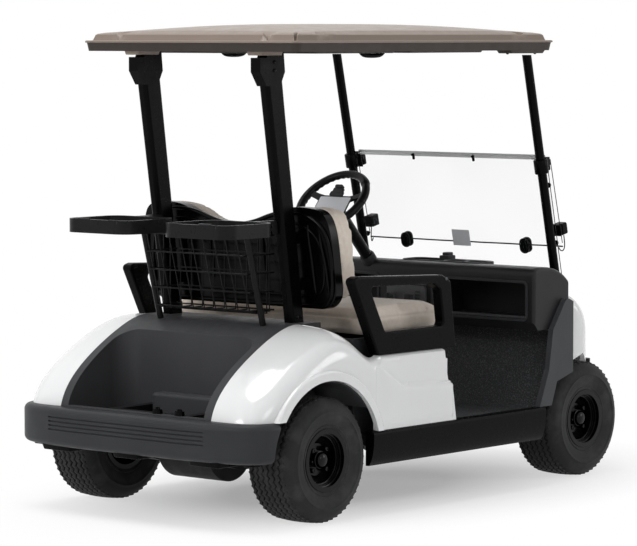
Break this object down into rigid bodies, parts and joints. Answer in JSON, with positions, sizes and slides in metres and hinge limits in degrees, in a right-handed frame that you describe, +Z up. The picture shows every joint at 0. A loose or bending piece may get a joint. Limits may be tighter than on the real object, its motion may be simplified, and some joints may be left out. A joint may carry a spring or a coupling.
{
  "type": "golf cart",
  "caption": "Small electric golf cart with a bench seat, crowned roof, folding clear screen, bag rack, basket and steered front wheels.",
  "frame": {"origin": "on the ground, at the middle of the length and of the width", "axes": "+X forward, +Y to the cart's left, +Z up"},
  "size_m": [2.42, 1.2, 1.7785],
  "materials": {
    "body_white": "gloss",
    "black_moulding": "fine grained",
    "grey_moulding": "fine grained",
    "roof_beige": "satin",
    "seat_beige": "matte",
    "black_steel": "satin",
    "tyre": "matte",
    "wheel_black": "gloss",
    "frame_metal": "coated",
    "drive_metal": "rough",
    "battery_case": "matte",
    "floor_mat": "ribbed",
    "clear_pane": "clear",
    "panel_grey": "satin"
  },
  "bodies": {
    "chassis": {"frame": "frame_metal", "rear_axle": "frame_metal", "drive_unit": "drive_metal", "battery_pack": "battery_case", "front_axle": "frame_metal", "floor_pan": "floor_mat", "rocker_panels": "black_moulding", "seat_base": "black_moulding", "rear_fender_left": "body_white", "rear_fender_right": "body_white", "bag_well": "black_moulding", "rear_bumper": "black_moulding", "wheel_liners": "black_moulding", "dashboard": "black_moulding", "control_panel": "panel_grey", "front_cowl": "body_white", "front_bumper": "black_moulding", "cowl_trims": "grey_moulding", "seat_back": "seat_beige", "seat_back_shell": "black_moulding", "armrests": "black_moulding", "rear_struts": "black_steel", "front_struts": "black_steel", "roof": "roof_beige", "roof_handles": "black_steel", "windshield_lower": "clear_pane", "windshield_upper": "clear_pane", "windshield_clips": "black_steel", "bag_rack": "black_steel", "sweater_basket": "black_steel", "steering_column": "black_steel", "pedals": "black_steel"},
    "seat": {"seat_bottom": "seat_beige"},
    "steering_wheel": {"steering_wheel": "black_steel"},
    "steering_rack": {"steering_rack": "frame_metal"},
    "knuckle_left": {"knuckle_left": "frame_metal"},
    "knuckle_right": {"knuckle_right": "frame_metal"},
    "wheel_rear_left": {"tyre_rear_left": "tyre", "rim_rear_left": "wheel_black"},
    "wheel_rear_right": {"tyre_rear_right": "tyre", "rim_rear_right": "wheel_black"},
    "wheel_front_left": {"tyre_front_left": "tyre", "rim_front_left": "wheel_black"},
    "wheel_front_right": {"tyre_front_right": "tyre", "rim_front_right": "wheel_black"}
  },
  "joints": [
    {"name": "wheel_rear_left_spin", "type": "hinge", "parent": "chassis", "child": "wheel_rear_left", "pos_m": [-0.77, 0.49, 0.2285], "axis": [0, 1, 0], "continuous": true},
    {"name": "wheel_rear_right_spin", "type": "hinge", "parent": "chassis", "child": "wheel_rear_right", "pos_m": [-0.77, -0.49, 0.2285], "axis": [0, 1, 0], "continuous": true},
    {"name": "wheel_front_left_spin", "type": "hinge", "parent": "knuckle_left", "child": "wheel_front_left", "pos_m": [0.87, 0.435, 0.2285], "axis": [0, 1, 0], "continuous": true},
    {"name": "wheel_front_right_spin", "type": "hinge", "parent": "knuckle_right", "child": "wheel_front_right", "pos_m": [0.87, -0.435, 0.2285], "axis": [0, 1, 0], "continuous": true},
    {"name": "steer_left", "type": "hinge", "parent": "chassis", "child": "knuckle_left", "pos_m": [0.87, 0.335, 0.2285], "axis": [0, 0, 1], "range_deg": [-28, 28]},
    {"name": "steer_right", "type": "hinge", "parent": "chassis", "child": "knuckle_right", "pos_m": [0.87, -0.335, 0.2285], "axis": [0, 0, 1], "range_deg": [-28, 28]},
    {"name": "rack_slide", "type": "slide", "parent": "chassis", "child": "steering_rack", "axis": [0, 1, 0], "range_m": [-0.0565, 0.0565]},
    {"name": "steering_wheel_turn", "type": "hinge", "parent": "chassis", "child": "steering_wheel", "pos_m": [0.275, 0.27, 1.085], "axis": [-0.682, 0, 0.7314], "range_deg": [-393, 393]},
    {"name": "seat_lift", "type": "hinge", "parent": "chassis", "child": "seat", "pos_m": [-0.424, 0, 0.6403], "axis": [0, -1, 0], "range_deg": [0, 55]}
  ],
  "couplings": [
    {"joint": "steer_right", "follows": "steer_left", "ratio": 1},
    {"joint": "rack_slide", "follows": "steer_left", "m_per_rad": -0.115},
    {"joint": "steering_wheel_turn", "follows": "steer_left", "ratio": 14}
  ]
}
